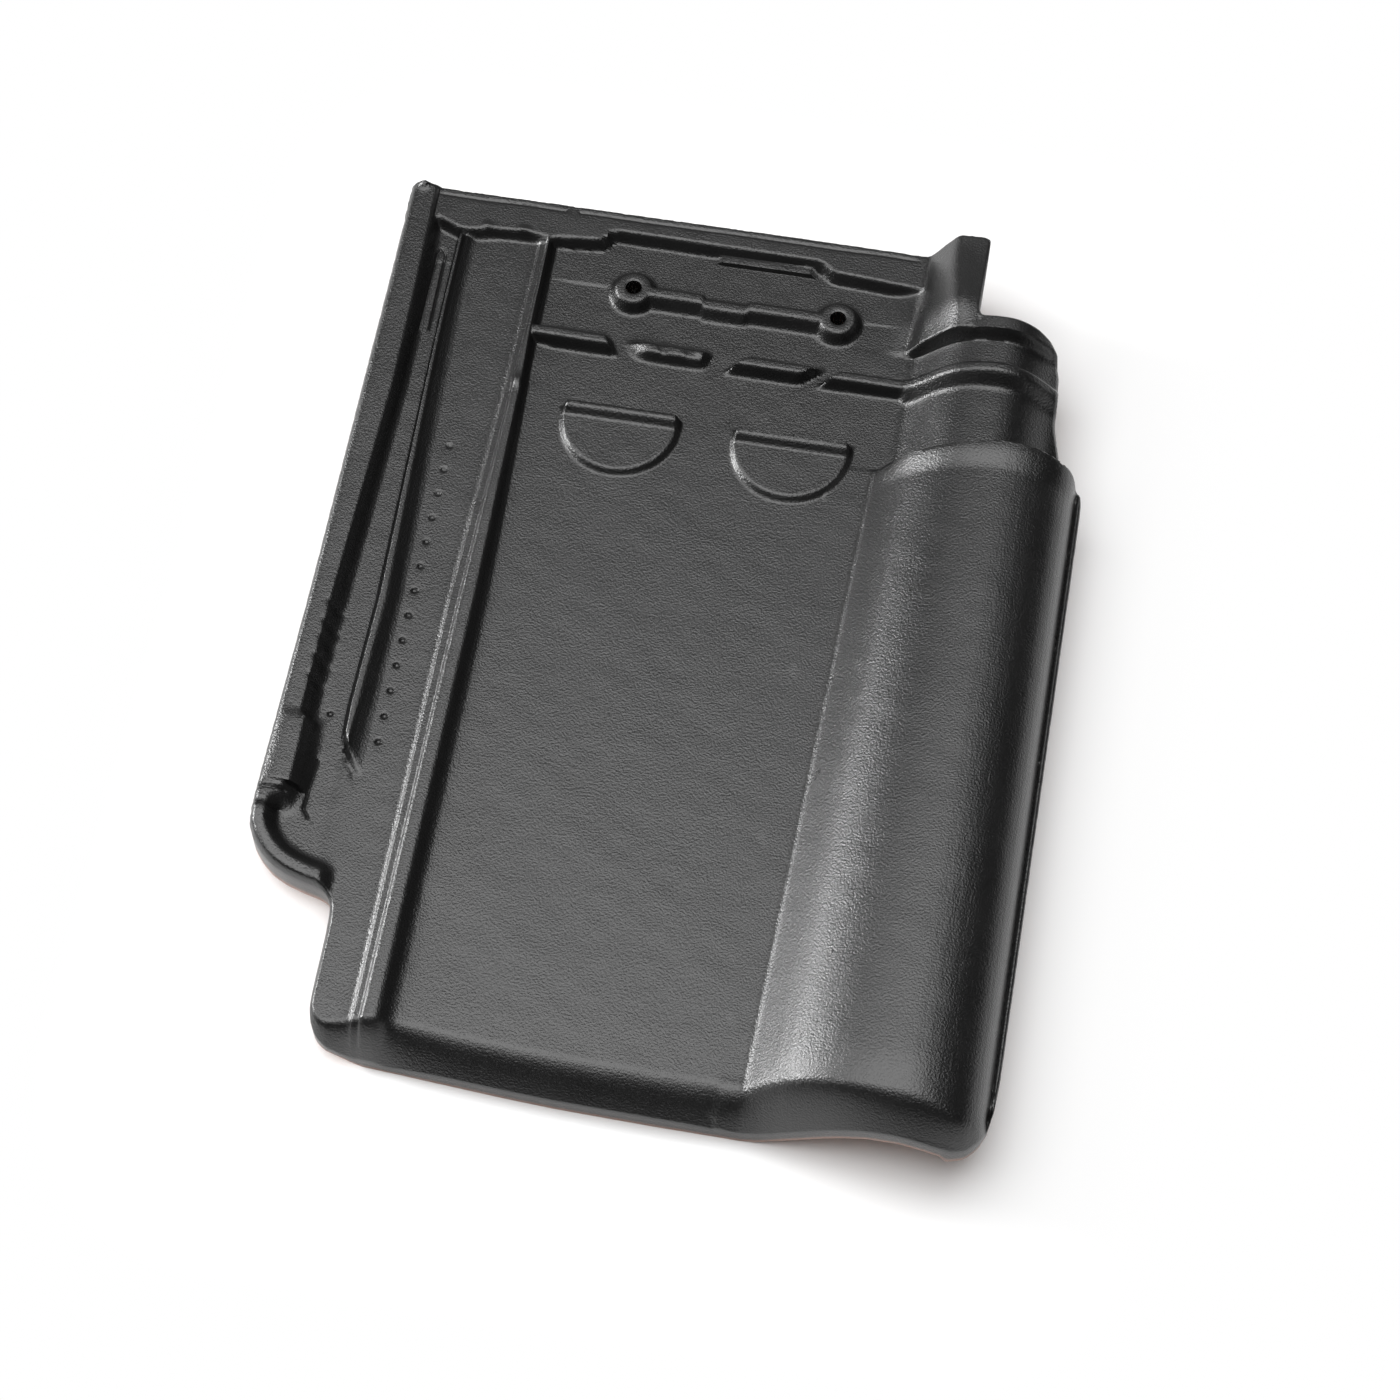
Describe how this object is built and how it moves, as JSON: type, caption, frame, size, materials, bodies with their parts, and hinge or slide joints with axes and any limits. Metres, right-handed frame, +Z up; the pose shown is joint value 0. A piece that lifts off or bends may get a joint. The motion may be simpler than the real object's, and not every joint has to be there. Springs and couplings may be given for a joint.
{
  "type": "clay roof tile",
  "caption": "Interlocking clay roof tile with a flat pan, a tapered roll, side and head locks, screw holes and hanging nibs, in dark engobe.",
  "frame": {"origin": "centre of the bounding box's bottom face, on the floor the tile lies on", "axes": "+Y towards the tile's head, +X towards the roll, +Z up out of the engobed face"},
  "size_m": [0.257, 0.3392, 0.048],
  "materials": {
    "engobed_clay": "satin dark engobe on the upper face, bare red-brown clay below"
  },
  "bodies": {
    "root": {"roof_tile": "engobed_clay"}
  },
  "joints": []
}
